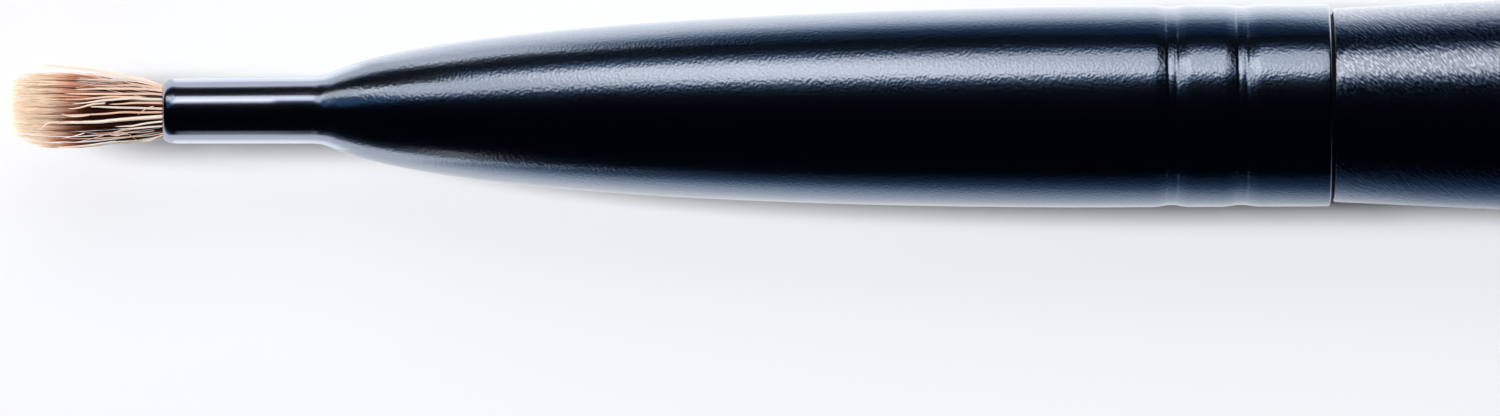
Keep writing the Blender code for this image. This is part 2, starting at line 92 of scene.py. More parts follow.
# Crimps as the light shows them: a wide hollow with two fine grooves and a bead between
HOLLOW_REACH = 1.05 * MM
HOLLOW_DEPTH = 0.095 * MM
FINE_GROOVE_OFFSET = 0.22 * MM
FINE_GROOVE_REACH = 0.17 * MM
FINE_GROOVE_DEPTH = 0.02 * MM

# The corner behind the neck is eased by a moving average
FILLET_REACH = 0.7 * MM
FILLET_FADE = 1.1 * FILLET_REACH  # where a sample's weight would reach 0
FILLET_SAMPLES = 10

# Facets
ROUND_SIDES = 160
LIP_STEPS = 12
LIP_RING_GAP = 0.3 * MM  # from the lip to the next ring
SHELL_STEPS = (12, 12, 84, 130, 8)  # before the fillet, over it, up to the crimps, over them and behind them
RIM_STEPS = 6
BORE_STEPS = 60
SKIN_STEPS = 110
SKIN_INSIDE_STEPS = 60
SHOULDER_STEPS = 5
BUTT_STEPS = 10
SOLVER_STEPS = 40
SHARP_ANGLE = math.radians(40)

# Hair. A share is of the hair's length, from the mouth
HAIR_COUNT = 900
LOCK_COUNT = 130
STRAY_COUNT = 12
HAIR_SEED = 11
TUFT_MOUTH_RADIUS = 1.36 * MM
TUFT_RADIUS = 2.12 * MM  # at the widest share, without the hairs that lie over it
WIDEST_SHARE = 0.7
TIP_CLOSE_SHARE = 0.1  # of the tuft's radius, lost again at the very tip
HAIR_LEAN = 0.12 * MM  # towards +Y at the tip
RING_SHARES = (-0.08, 0.0, 0.08, 0.17, 0.27, 0.38, 0.5, 0.62, 0.74, 0.85, 0.94, 1.0)  # of a hair's own length
LOCK_SPREAD = 0.96  # of the tuft's radius, over which the locks' middles spread
LOCK_NUDGE = 0.035  # of the tuft's radius, by which a lock's middle is off its even place at most
GOLDEN_TURN = math.pi * (3 - math.sqrt(5))

# Locks and single hairs that lie over the tuft: points of (share of the hair's length, mm towards +Y),
# then the lock's half width in mm, its number of hairs and its paleness
LAID_HAIRS = (
    (((-0.05, 1.2), (0.07, 1.58), (0.12, 1.76), (0.25, 1.9), (0.41, 2.0), (0.52, 2.06)), 0.06, 4, 0.95),
    (((-0.05, 1.18), (0.07, 1.45), (0.19, 1.64), (0.41, 1.7), (0.58, 1.72)), 0.06, 4, 0.85),
    (((-0.05, 1.1), (0.07, 1.3), (0.19, 1.4), (0.33, 1.36), (0.5, 1.42)), 0.06, 4, 0.6),
    (((-0.05, 1.0), (0.07, 1.15), (0.25, 1.2), (0.41, 1.2), (0.6, 1.15)), 0.06, 4, 0.85),
    (((-0.05, 0.84), (0.07, 0.92), (0.25, 0.92), (0.49, 0.92), (0.64, 0.96)), 0.06, 4, 0.65),
    (((-0.05, 0.6), (0.12, 0.65), (0.19, 0.68), (0.33, 0.6), (0.41, 0.54), (0.49, 0.44), (0.62, 0.34)),
     0.06, 4, 0.95),
    (((0.1, 0.72), (0.25, 0.76), (0.33, 0.77), (0.41, 0.71), (0.49, 0.65), (0.64, 0.62)), 0.05, 3, 0.6),
    (((-0.05, 0.4), (0.12, 0.43), (0.19, 0.42), (0.25, 0.38), (0.36, 0.35)), 0.05, 3, 0.6),
    (((-0.05, 0.1), (0.07, 0.12), (0.15, 0.15), (0.3, 0.18), (0.4, 0.22), (0.47, 0.22)), 0.045, 4, 1.0),
    (((-0.03, -0.08), (0.12, -0.1), (0.25, -0.08), (0.36, -0.16), (0.49, -0.2), (0.64, -0.22)),
     0.035, 2, 0.5),
    (((-0.05, -0.31), (0.07, -0.38), (0.19, -0.44), (0.33, -0.54), (0.41, -0.6), (0.55, -0.62), (0.76, -0.6)),
     0.09, 9, 1.0),
    (((-0.05, -0.55), (0.07, -0.65), (0.12, -0.71), (0.19, -0.82), (0.25, -0.84), (0.31, -0.86)),
     0.04, 3, 0.95),
    (((-0.05, -0.82), (0.07, -0.88), (0.19, -0.97), (0.3, -1.0)), 0.025, 2, 1.0),
    (((0.05, -1.1), (0.12, -1.18), (0.22, -1.2), (0.33, -1.2), (0.5, -1.26)), 0.02, 1, 0.45),
    (((-0.05, -1.15), (0.07, -1.36), (0.19, -1.42), (0.33, -1.47), (0.49, -1.52), (0.62, -1.5)),
     0.02, 1, 0.6),
    (((-0.03, -1.25), (0.07, -1.56), (0.15, -1.64), (0.33, -1.72), (0.41, -1.8), (0.49, -1.88),
      (0.63, -1.96), (0.76, -2.0)), 0.06, 5, 1.0),
    (((-0.05, 1.2), (0.1, 1.55), (0.27, 1.98), (0.5, 2.3), (0.68, 2.46), (0.84, 2.58)), 0.06, 5, 0.85),
    (((0.05, 0.22), (0.1, 0.1), (0.16, -0.28)), 0.02, 1, 1.0),
    (((0.14, -1.77), (0.19, -1.45), (0.23, -1.24), (0.29, -1.36), (0.34, -1.3), (0.38, -1.2)), 0.02, 1, 1.0),
    (((0.5, -1.22), (0.58, -1.4), (0.66, -1.5)), 0.02, 1, 0.9),
    (((0.46, -0.2), (0.53, -0.28), (0.6, -0.26), (0.66, -0.12)), 0.03, 2, 0.8),
    (((0.66, -0.6), (0.74, -0.7), (0.79, -1.05)), 0.02, 1, 0.9),
    (((0.36, 0.42), (0.44, 0.36), (0.54, 0.16), (0.62, 0.12)), 0.03, 2, 0.7),
)
SINGLE_HAIR_RADIUS = 0.024 * MM
LAID_REACH_SHARE = 1.03  # of the tuft's radius, where laid hairs lie
LAID_CLEARANCE = 0.03 * MM  # beyond that
LAID_STEPS = 13
LAID_SIDES = 6
LAID_FLATNESS = 1.3  # above 1, a laid hair is wider than it is high
STRAY_STEPS = 10
STRAY_LEAN = 0.28 * MM  # towards +Y at the tip

# Finishes
SATIN_START = 7.6 * MM  # behind the mouth, where the neck's gloss starts to give way to satin
SATIN_END = 10.5 * MM
GRAIN_TWIST = -220.0  # radians per metre along the handle
SEAM_PAINT_AND_SHADE_REACH = 1.2 * MM  # of the black paint and painted shade on the wood, before the ferrule's rear edge

# Nets that lie over the floor beside the brush, and that only its gloss sees. They close further out, so that
# the rims fade towards the middle. A reach is (X, distance from the axis) in mm, and a share of it comes with
# how much of the floor the net hides there.
NEAR_REACHES = (
    (-600, 28), (-88, 28), (-78, 120), (-72, 260), (-67, 80), (-63, 30), (-58, 27), (-45, 23.5), (-28, 20),
    (-13, 17), (-6, 13.5), (600, 13.5),
)
NEAR_SHARES = (
    (0.4, 0.0), (0.6, 0.3), (0.8, 0.5), (1.0, 0.68), (1.3, 0.84), (1.65, 0.93), (2.5, 0.97), (4.2, 0.99),
)
NEAR_NET_TONE = (0.002, 0.01, 0.026)
FAR_REACHES = (
    (-600, 65), (-88, 65), (-78, 150), (-72, 260), (-64, 150), (-58, 38), (-45, 26), (-28, 22), (-13, 19),
    (-6, 28), (600, 30),
)
FAR_SHARES = ((0.6, 0.0), (0.8, 0.2), (1.0, 0.44), (1.3, 0.74), (1.65, 0.92), (2.5, 0.98), (4.2, 0.99))
FAR_NET_TONE = (0.004, 0.018, 0.045)
NET_EDGE = 3.9  # from the axis
NET_HEIGHT = 0.3 * MM
NET_POWERS = (1.0, 0.85, 0.69)  # of the open share, passed in red, green and blue: a closing net turns navy
CLOTH_BLACK = (0.002, 0.002, 0.002)
NECK_FLAG_SLANTS = (49, 70)
NECK_FLAG_DISTANCE = 30 * MM
NECK_FLAG_ENDS = (-79 * MM, -65 * MM)
NECK_FLAG_TONE = (0.004, 0.004, 0.004)

# Lamps. A slant is in degrees from straight above the axis towards +Y
LAMP_TINT = (0.978, 0.988, 1.0)
GLOW_TINT = (0.92, 0.935, 1.0)
BOX_TINT = (1.0, 0.96, 0.9)
BOX_EDGE_TINT = (0.2, 0.48, 1.0)
WORLD_TINT = (0.12, 0.36, 1.0)
WORLD_STRENGTH = 0.0035

# Lamps that light the floor and the hair and don't show in gloss: name, place, rotation in degrees, length,
# width, radiance and tint
FLOOR_LAMPS = (
    ("front_fill", (-2.55, 0.22, 2.7), (-4.7, -42, 0), 2.7, 0.69, 33.6, LAMP_TINT),
    ("low_glow", (-3.6, 0.15, 1.35), (0, -69, 0), 1.5, 2.1, 3.3, GLOW_TINT),
    ("side_glow", (-0.18, 0.3936, 0.459), (-41, 0, 0), 0.52, 0.33, 1.4, LAMP_TINT),
)

# Soft boxes and small cards that only the brush's gloss sees: name, slant, distance from the axis, X, roll in
# degrees, length, width, radiance and tint. The wide blue box shows round the edges of the other boxes.
GLOSS_LAMPS = (
    ("long_box", 45.5, 0.604, -0.1355, 21.5, 0.526, 0.285, 0.99, BOX_TINT),
    ("long_box_end", 52.5, 0.62, -0.565, -23, 0.39, 0.24, 0.95, BOX_TINT),
    ("long_box_core", 45, 0.58, -0.085, 20, 0.13, 0.23, 0.68, BOX_TINT),
    ("long_box_edge", 41, 0.61, -0.31, 20, 0.95, 0.43, 0.2, BOX_EDGE_TINT),
    ("neck_card_top", 26.5, 0.005, -0.0712, 0, 0.0061, 0.0009, 0.92, LAMP_TINT),
    ("neck_card_far", 90.67, 0.06, -0.073, 0, 0.008, 0.011, 0.5, LAMP_TINT),
    ("neck_card_low_far", 125, 0.0075, -0.0695, 0, 0.0095, 0.0046, 0.6, LAMP_TINT),
    ("neck_card_low_near", -128, 0.007, -0.07, 0, 0.0085, 0.0036, 0.45, LAMP_TINT),
    ("neck_card_near", -83.53, 0.0604, -0.0725, 0, 0.008, 0.013, 0.3, LAMP_TINT),
)

# Strips on the far side that face up from just over the floor: name, distance of the far edge and radiance
LOW_STRIPS = (("low_strip", 13 * MM, 0.4), ("low_strip_edge", 19 * MM, 0.22))
LOW_STRIP_START = 5 * MM
LOW_STRIP_HEIGHT = 1 * MM
LOW_STRIP_MIDDLE = 0.06
LOW_STRIP_LENGTH = 0.25

# Camera and floor
CAMERA_DISTANCE = 1.0
LENS = 441.1
SENSOR = 36.0
VIEW_MIDDLE = (-42.19 * MM, -5.44 * MM)
VIEW_ROLL = math.radians(-0.27)
CLIP_START = 0.01
CLIP_END = 20.0
FLOOR_HALF_WIDTH = 4.0


def cubic(share, first_handle, second_handle):
    """One coordinate of the cubic Bezier curve from 0 to 1."""
    rest = 1 - share
    return 3 * rest**2 * share * first_handle + 3 * rest * share**2 * second_handle + share**3


def rise_at(share, start_shares, end_shares):
    """How far a curve from (0, 0) to (1, 1) with these handles has risen at this share of its length."""
    low, high = 0.0, 1.0
    for _ in range(SOLVER_STEPS):
        middle = (low + high) / 2
        if cubic(middle, start_shares[0], end_shares[0]) < share:
            low = middle
        else:
            high = middle
    return cubic(low, start_shares[1], end_shares[1])


def hump(offset, half_width):
    """A smooth hump, 1 at its middle and 0 beyond its half width."""
    share = abs(offset) / half_width
    return (1 + math.cos(math.pi * share)) / 2 if share < 1 else 0.0


def smooth(low, high, value):
    """0 up to low, 1 from high on, and a smooth step between. Low may be the greater of the two."""
    share = min(1.0, max(0.0, (value - low) / (high - low)))
    return share * share * (3 - 2 * share)


def spread(start, end, steps):
    """Evenly spaced values from start to end, both included."""
    return [start + (end - start) * step / steps for step in range(steps + 1)]


def plain_ferrule_radius(place):
    """The outer radius behind the lip, without the crimps."""
    if place <= NECK_LENGTH:
        return MOUTH_RADIUS + (NECK_RADIUS - MOUTH_RADIUS) * place / NECK_LENGTH
    share = min(1.0, (place - NECK_LENGTH) / BULLET_LENGTH)
    rise = rise_at(share, BULLET_START_SHARES, BULLET_END_SHARES)
    return NECK_RADIUS + (FERRULE_RADIUS - NECK_RADIUS) * rise


def filleted_radius(place):
    """The same radius with the corner behind the neck eased by a moving average."""
    total = weights = 0.0
    for offset in spread(-FILLET_REACH, FILLET_REACH, FILLET_SAMPLES):
        weight = hump(offset, FILLET_FADE)
        total += weight * plain_ferrule_radius(place + offset)
        weights += weight
    return total / weights


def crimp_depth(place):
    """How deep the crimps draw the ferrule in at this place."""
    depth = 0.0
    for crimp in CRIMPS:
        depth += HOLLOW_DEPTH * hump(place - crimp, HOLLOW_REACH)
        for side in (-1, 1):
            depth += FINE_GROOVE_DEPTH * hump(place - crimp - side * FINE_GROOVE_OFFSET, FINE_GROOVE_REACH)
    return depth


def handle_radius(place):
    """The handle's outer radius, without the butt's rounding."""
    back = place - SHOULDER
    if back <= BELLY_SETBACK:
        rise = rise_at(back / BELLY_SETBACK, BELLY_START_SHARES, BELLY_END_SHARES)
        return SHOULDER_RADIUS + (BELLY_RADIUS - SHOULDER_RADIUS) * rise
    taper_length = BUTT - SHOULDER - BUTT_ROUND - BELLY_SETBACK
    drop = rise_at((back - BELLY_SETBACK) / taper_length, TAPER_START_SHARES, TAPER_END_SHARES)
    return BELLY_RADIUS - (BELLY_RADIUS - BUTT_RADIUS) * drop


def put_in_scene(name, data):
    """A new object of this mesh, lamp or camera."""
    piece = bpy.data.objects.new(name, data)
    bpy.context.scene.collection.objects.link(piece)
    return piece


def turned(name, outline, sides):
    """A closed turned shell round the brush's axis, from an outline of (place, radius)."""
    shape = bmesh.new()
    rings = []
    for place, radius in outline:
        if radius <= 0:
            rings.append([shape.verts.new((MOUTH + place, 0.0, AXIS_HEIGHT))] * sides)
            continue
        ring = []
        for side in range(sides):
            angle = 2 * math.pi * side / sides
            across = (radius * math.sin(angle), AXIS_HEIGHT + radius * math.cos(angle))
            ring.append(shape.verts.new((MOUTH + place, *across)))
        rings.append(ring)
    for ring, following in zip(rings, rings[1:] + rings[:1]):
        for side in range(sides):
            after = (side + 1) % sides
            corners = []
            for corner in (ring[side], ring[after], following[after], following[side]):
                if corner not in corners:
                    corners.append(corner)
            if len(corners) > 2:
                shape.faces.new(corners)
    bmesh.ops.recalc_face_normals(shape, faces=shape.faces)
    mesh = bpy.data.meshes.new(name)
    shape.to_mesh(mesh)
    shape.free()
    mesh.shade_smooth()
    mesh.set_sharp_from_angle(angle=SHARP_ANGLE)
    return put_in_scene(name, mesh)


def make_ferrule_shell():
    """The drawn ferrule, with a finely rounded mouth, two crimps and a turned-in rear edge."""
    outline = []
    for turn in spread(0.0, math.pi / 2, LIP_STEPS):
        lip_radius = MOUTH_RADIUS - FERRULE_WALL * (1 - math.sin(turn))
        outline.append((LIP_LENGTH * (1 - math.cos(turn)), lip_radius))
    stops = (
        LIP_LENGTH + LIP_RING_GAP, NECK_LENGTH - FILLET_REACH, NECK_LENGTH + FILLET_REACH,
        CRIMPS[0] - HOLLOW_REACH, CRIMPS[1] + HOLLOW_REACH, FERRULE_LENGTH - RIM_ROUND,
    )
    places = [stops[0]]
    for start, end, steps in zip(stops, stops[1:], SHELL_STEPS):
        places += spread(start, end, steps)[1:]
    for place in places:
        eased = NECK_LENGTH - FILLET_REACH < place < NECK_LENGTH + 3 * FILLET_REACH
        radius = filleted_radius(place) if eased else plain_ferrule_radius(place)
        outline.append((place, radius - crimp_depth(place)))
    for turn in spread(0.0, math.pi / 2, RIM_STEPS)[1:]:
        along = FERRULE_LENGTH - RIM_ROUND * (1 - math.sin(turn))
        outline.append((along, FERRULE_RADIUS - RIM_ROUND * (1 - math.cos(turn))))
    for place in reversed(spread(NECK_LENGTH, FERRULE_LENGTH, BORE_STEPS)):
        outline.append((place, plain_ferrule_radius(place) - FERRULE_WALL - crimp_depth(place)))
    return turned("ferrule_shell", outline, ROUND_SIDES)


def handle_outline(inset, steps):
    """The handle's outline from the shoulder to the middle of the butt, this far inside its surface."""
    places = spread(SHOULDER, BUTT - BUTT_ROUND, steps)
    outline = [(place, handle_radius(place) - inset) for place in places]
    arc_radius = BUTT_ROUND - inset
    for turn in spread(0.0, math.pi / 2, BUTT_STEPS)[1:]:
        along = BUTT - BUTT_ROUND + arc_radius * math.sin(turn)
        outline.append((along, BUTT_RADIUS - BUTT_ROUND + arc_radius * math.cos(turn)))
    outline.append((BUTT - inset, 0.0))
    return outline


def make_handle_skin():
    """The grained skin of the handle, rounded at the shoulder and closed over the butt."""
    outside = handle_outline(0.0, SKIN_STEPS)
    edge_radius = outside[0][1]
    shoulder = []
    for turn in spread(0.0, math.pi / 2, SHOULDER_STEPS):
        along = SHOULDER + SHOULDER_ROUND * (1 - math.sin(turn))
        shoulder.append((along, edge_radius - SHOULDER_ROUND * (1 - math.cos(turn))))
    outline = list(reversed(shoulder)) + outside[1:]
    outline += list(reversed(handle_outline(SLEEVE_THICKNESS, SKIN_INSIDE_STEPS)))
    return turned("handle_skin", outline, ROUND_SIDES)


def sunflower(count):
    """Evenly packed points in the unit disc."""
    points = []
    for index in range(count):
        radius = math.sqrt((index + 0.5) / count)
        angle = index * GOLDEN_TURN
        points.append((radius * math.cos(angle), radius * math.sin(angle)))
    return points


def tuft_radius(share):
    """The tuft's radius at this share of the hair's length."""
    swell = math.sin(math.pi / 2 * min(1.0, share / WIDEST_SHARE))
    radius = TUFT_MOUTH_RADIUS + (TUFT_RADIUS - TUFT_MOUTH_RADIUS) * swell
    return radius * (1 - TIP_CLOSE_SHARE * smooth(WIDEST_SHARE, 1.0, share))


def linear(red, green, blue):
    """A colour as a screen shows it, from 0 to 255, as the light it stands for."""
    parts = []
    for part in (red / 255, green / 255, blue / 255):
        parts.append(part / 12.92 if part <= 0.04045 else ((part + 0.055) / 1.055) ** 2.4)
    return tuple(parts)


def blended(first, second, share):
    """The colour at this share of the way from the first to the second."""
    return tuple(a + (b - a) * share for a, b in zip(first, second))


# Hair colours
CREAM = linear(255, 241, 228)
TAN = linear(250, 208, 184)
AMBER = linear(232, 158, 120)
CHESTNUT = linear(172, 80, 54)
UMBER = linear(38, 9, 4)
RUST = linear(194, 98, 60)
PEACH_TIP = linear(255, 238, 214)

# A lock of hair: its middle in the unit disc, how pale it is and how much painted shade it gets, both from 0
# to 1
Lock = namedtuple("Lock", "y z paleness dimness")


def make_locks(draw):
    """The locks that the hairs draw together into. The pale ones are on the tuft's outside, with more of them
    towards +Y on the upper half; the locks inside stay dark, partly as dark hairs and partly as painted shade
    inside the tuft.
    """
    middles = []
    for y, z in sunflower(LOCK_COUNT):
        turn = draw.uniform(0, 2 * math.pi)
        nudge = LOCK_NUDGE * draw.random()
        middles.append((LOCK_SPREAD * y + nudge * math.cos(turn), LOCK_SPREAD * z + nudge * math.sin(turn)))
    shade_draw = random.Random(HAIR_SEED + 1)
    locks = []
    for y, z in middles:
        # Locks inside the tuft lose their paleness: partly dark hairs, partly painted shade inside the tuft
        outer = smooth(0.5, 0.85, math.hypot(y, z))
        pale_share = 0.5 if z < 0 else 0.05 + 0.75 * smooth(0.0, 0.5, y)
        pale = draw.uniform(0.55, 0.95) if draw.random() < pale_share else draw.uniform(0.0, 0.12)
        # Each lock's share of painted shade, for the dark gaps between locks
        locks.append(Lock(y, z, pale * outer, shade_draw.random() ** 3))
    return locks


def hair_point(root, lock, share, pull, wave):
    """A point of a hair, from its root and its lock's middle in the unit disc."""
    reach = tuft_radius(max(0.0, share))
    y = (root[0] * (1 - pull) + lock.y * pull) * reach + wave[0]
    z = (root[1] * (1 - pull) + lock.z * pull) * reach + wave[1]
    lean = HAIR_LEAN * max(0.0, share) ** 2
    return MOUTH - share * HAIR_LENGTH, y + lean, AXIS_HEIGHT + z


def hair_colouring(draw, root, paleness, lock_painted_shade):
    """One hair's colours from root to tip, as a function of the share of the hair's length, darkened towards
    umber and rust by painted shade for the gaps between locks and hairs.
    """
    deep = blended(UMBER, CHESTNUT, 0.4 * draw.random() ** 3)
    root_colour = blended(deep, blended(TAN, CREAM, draw.random() ** 2), smooth(0.2, 0.75, paleness))
    middle_colour = blended(deep, blended(CHESTNUT, TAN, paleness), smooth(0.0, 0.5, paleness))
    warm_colour = blended(blended(TAN, AMBER, draw.random()), CHESTNUT, 0.7 * draw.random() ** 2)
    tip_colour = blended(PEACH_TIP, TAN, 0.35 * draw.random())
    # Painted shade: how far this hair is darkened for the gaps between locks and hairs
    painted_shading = min(0.95, 0.6 * draw.random() ** 2 + 0.8 * lock_painted_shade)
    warm_start = 0.34 + 0.2 * smooth(0.5, 0.0, root[0])
    tip_start = 0.55 + 0.1 * painted_shading

    def colour_at(share):
        colour = blended(root_colour, middle_colour, smooth(0.1, 0.45, share))
        colour = blended(colour, warm_colour, smooth(warm_start, warm_start + 0.18, share))
        # Painted shade towards umber and rust
        colour = blended(colour, blended(UMBER, RUST, smooth(0.45, 0.72, share)), painted_shading)
        return blended(colour, tip_colour, smooth(tip_start, tip_start + 0.2, share))

    return colour_at


def hair_route(draw, root, locks):
    """One hair of the tuft, as (x, y, z, radius, colour) from its root to its tip."""
    lock = min(locks, key=lambda item: math.dist((item.y, item.z), root))
    rim = math.hypot(*root)
    near_side = smooth(0.1, -0.9, root[0])
    length = 1.03 - (0.05 + 0.16 * near_side) * rim**6 - 0.13 * draw.random() ** 2
    strength = draw.uniform(0.8, 1.05)
    radius = draw.uniform(0.024, 0.036) * MM
    paleness = min(1.0, max(0.0, lock.paleness + draw.uniform(-0.1, 0.08)))
    phase = draw.uniform(0, 2 * math.pi)
    swing = draw.uniform(0.02, 0.07) * MM
    stand_off = 0.1 * draw.random() * smooth(0.9, 1.0, rim)
    colour_at = hair_colouring(draw, root, paleness, lock.dimness)
    route = []
    for ring_share in RING_SHARES:
        share = ring_share * length
        pull = strength * smooth(-0.25, 0.12, share) * (1 - 0.6 * smooth(0.5, 1.0, share))
        swell = swing * max(0.0, share)
        wave = (swell * math.sin(phase + 9 * share), swell * math.cos(phase + 7 * share))
        x, y, z = hair_point(root, lock, share, pull, wave)
        reach = 1 + stand_off * max(0.0, share) ** 2
        taper = 1 - 0.75 * smooth(0.55, 1.0, ring_share)
        point = (x, y * reach, AXIS_HEIGHT + (z - AXIS_HEIGHT) * reach)
        route.append((*point, radius * taper, colour_at(share)))
    return route


def on_track(track, share):
    """A point on the smooth curve through the track's points, at this share of its spans."""
    span = min(len(track) - 2, int(share * (len(track) - 1)))
    step = share * (len(track) - 1) - span
    around = [track[min(len(track) - 1, max(0, span + offset))] for offset in (-1, 0, 1, 2)]
    point = []
    for before, start, end, after in zip(*around):
        bend = 2 * before - 5 * start + 4 * end - after
        twist = 3 * start - before - 3 * end + after
        point.append(start + 0.5 * step * (end - before + step * (bend + step * twist)))
    return point


def laid_colour(paleness, share):
    """The colour of a hair that lies over the tuft, at this share of the hair's length."""
    colour = blended(blended(CHESTNUT, TAN, smooth(0.0, 0.5, paleness)), CREAM, smooth(0.5, 1.0, paleness))
    return blended(colour, blended(TAN, PEACH_TIP, paleness), smooth(0.5, 0.9, share))


def laid_routes(draw):
    """The hairs that lie over the tuft, in their locks, as routes like those of the tuft's hairs."""
    routes = []
    for track, half_width, count, lock_paleness in LAID_HAIRS:
        for index in range(count):
            turn = index * GOLDEN_TURN
            offset = half_width * MM * math.sqrt((index + 0.5) / count)
            paleness = min(1.0, lock_paleness + draw.uniform(-0.15, 0.1))
            length = draw.uniform(0.86, 1.0)
            radius = draw.uniform(0.028, 0.036) * MM if count > 1 else SINGLE_HAIR_RADIUS
            route = []
            for step in range(LAID_STEPS + 1):
                done = step / LAID_STEPS
                share, across = on_track(track, length * done)
                reach = LAID_REACH_SHARE * tuft_radius(share) + LAID_CLEARANCE
                across = across * MM + offset * math.cos(turn) * (1 - 0.3 * done)
                height = math.sqrt(max(reach**2 - across**2, (0.25 * reach) ** 2)) + offset * math.sin(turn)
                taper = 1 - 0.7 * smooth(0.6, 1.0, done)
                point = (MOUTH - share * HAIR_LENGTH, across, AXIS_HEIGHT + height)
                route.append((*point, radius * taper, laid_colour(paleness, share)))
            routes.append(route)
    return routes


def stray_route(draw):
    """A loose hair that wanders over the tuft's upper half."""
    start = draw.uniform(0.02, 0.35)
    length = draw.uniform(0.25, 0.5)
    angle = draw.uniform(-1.3, 1.3)
    drift = draw.uniform(-0.5, 0.5)
    phase = draw.uniform(0, 2 * math.pi)
    radius = draw.uniform(0.018, 0.03) * MM
    colour = blended(CREAM, TAN, draw.random())
    route = []
    for step in range(STRAY_STEPS + 1):
        done = step / STRAY_STEPS
        share = start + length * done
        turn = angle + drift * done + 0.05 * math.sin(phase + 5 * done)
        reach = tuft_radius(share) * (1.0 + 0.03 * math.sin(math.pi * done))
        y = reach * math.sin(turn) + STRAY_LEAN * share**2
        z = AXIS_HEIGHT + reach * math.cos(turn)
        route.append((MOUTH - share * HAIR_LENGTH, y, z, radius * (1 - 0.6 * done), colour))
    return route


def add_hair(corners, faces, colours, route, sides=4, flatness=1.0):
    """Adds one closed hair along a route of (x, y, z, radius, colour) to the mesh's lists."""
    first = len(corners)
    for x, y, z, radius, colour in route[:-1]:
        for side in range(sides):
            angle = 2 * math.pi * side / sides
            across = radius * flatness * math.sin(angle)
            corners.append((x, y + across, z + radius / flatness * math.cos(angle)))
            colours.append((*colour, 1.0))
    x, y, z, _, colour = route[-1]
    corners.append((x, y, z))
    colours.append((*colour, 1.0))
    tip = len(corners) - 1
    faces.append([first + side for side in reversed(range(sides))])
    for ring in range(len(route) - 2):
        here = first + ring * sides
        for side in range(sides):
            after = (side + 1) % sides
            faces.append([here + side, here + after, here + sides + after, here + sides + side])
    here = first + (len(route) - 2) * sides
    for side in range(sides):
        faces.append([here + side, here + (side + 1) % sides, tip])


def make_hair():
    """The full tuft: tapered hairs in locks, laid hairs over them and strays across them."""
    draw = random.Random(HAIR_SEED)
    locks = make_locks(draw)
    corners, faces, colours = [], [], []
    for root in sunflower(HAIR_COUNT):
        add_hair(corners, faces, colours, hair_route(draw, root, locks))
    for route in laid_routes(draw):
        add_hair(corners, faces, colours, route, LAID_SIDES, LAID_FLATNESS)
    for _ in range(STRAY_COUNT):
        add_hair(corners, faces, colours, stray_route(draw))
    mesh = bpy.data.meshes.new("brush_hair")
    mesh.from_pydata(corners, [], faces)
    attribute = mesh.color_attributes.new("hair_colour", "FLOAT_COLOR", "POINT")
    for index, colour in enumerate(colours):
        attribute.data[index].color = colour
    mesh.shade_smooth()
    return put_in_scene("brush_hair", mesh)


class Finish:
    """A material under construction round one Principled shader."""

    def __init__(self, name):
        self.material = bpy.data.materials.new(name)
        self.material.use_nodes = True
        self.tree = self.material.node_tree
        self.shader = self.tree.nodes["Principled BSDF"]
        self.place = self.add("ShaderNodeTexCoord").outputs["Object"]

    def add(self, kind, **settings):
        """A new node with these settings."""
        node = self.tree.nodes.new(kind)
        for key, value in settings.items():
            setattr(node, key, value)
        return node

    def link(self, output, target):
        self.tree.links.new(output, target)

    def fix(self, **values):
        """Sets the shader's own sockets, spaces in their names written as underscores."""
        for name, value in values.items():
            self.shader.inputs[name.replace("_", " ")].default_value = value

    def feed(self, value, name):
        """Links a value to the shader's socket of this name."""
        self.link(value, self.shader.inputs[name])

    def x(self):
        """The surface's X."""
        split = self.add("ShaderNodeSeparateXYZ")
        self.link(self.place, split.inputs[0])
        return split.outputs["X"]

    def noise(self, scale, detail=4.0, stretch=(1.0, 1.0, 1.0), roughness=0.55):
        """Noise of this many lumps per metre, drawn out along the axes whose stretch is below 1."""
        mapping = self.add("ShaderNodeMapping")
        mapping.inputs["Scale"].default_value = stretch
        self.link(self.place, mapping.inputs["Vector"])
        texture = self.add("ShaderNodeTexNoise")
        texture.inputs["Scale"].default_value = scale
        texture.inputs["Detail"].default_value = detail
        texture.inputs["Roughness"].default_value = roughness
        self.link(mapping.outputs["Vector"], texture.inputs["Vector"])
        return texture.outputs["Fac"]

    def between(self, value, low, high, to_low=0.0, to_high=1.0):
        """A value that runs from low to high, made to run from to_low to to_high and no further."""
        node = self.add("ShaderNodeMapRange")
        self.link(value, node.inputs["Value"])
        for name, number in zip(("From Min", "From Max", "To Min", "To Max"), (low, high, to_low, to_high)):
            node.inputs[name].default_value = number
        return node.outputs["Result"]

    def combine(self, first, second, operation="ADD"):
        """The sum of two values, or what another operation makes of them."""
        node = self.add("ShaderNodeMath", operation=operation)
        self.link(first, node.inputs[0])
        if isinstance(second, (int, float)):
            node.inputs[1].default_value = second
        else:
            self.link(second, node.inputs[1])
        return node.outputs["Value"]

    def mix(self, share, first, second, blend="MIX"):
        """Two colours mixed, each of them fixed or from a node."""
        node = self.add("ShaderNodeMix", data_type="RGBA", blend_type=blend)
        for socket, value in ((node.inputs[0], share), (node.inputs[6], first), (node.inputs[7], second)):
            if isinstance(value, bpy.types.NodeSocket):
                self.link(value, socket)
            elif isinstance(value, tuple):
                socket.default_value = (*value, 1.0)
            else:
                socket.default_value = value
        return node.outputs[2]

    def bump(self, height, depth):
        """Adds a bump this deep, on top of those before it."""
        node = self.add("ShaderNodeBump")
        node.inputs["Distance"].default_value = depth
        node.inputs["Strength"].default_value = 1.0
        self.link(height, node.inputs["Height"])
        normal = self.shader.inputs["Normal"]
        if normal.is_linked:
            self.link(normal.links[0].from_socket, node.inputs["Normal"])
        self.link(node.outputs["Normal"], normal)
        self.link(node.outputs["Normal"], self.shader.inputs["Coat Normal"])


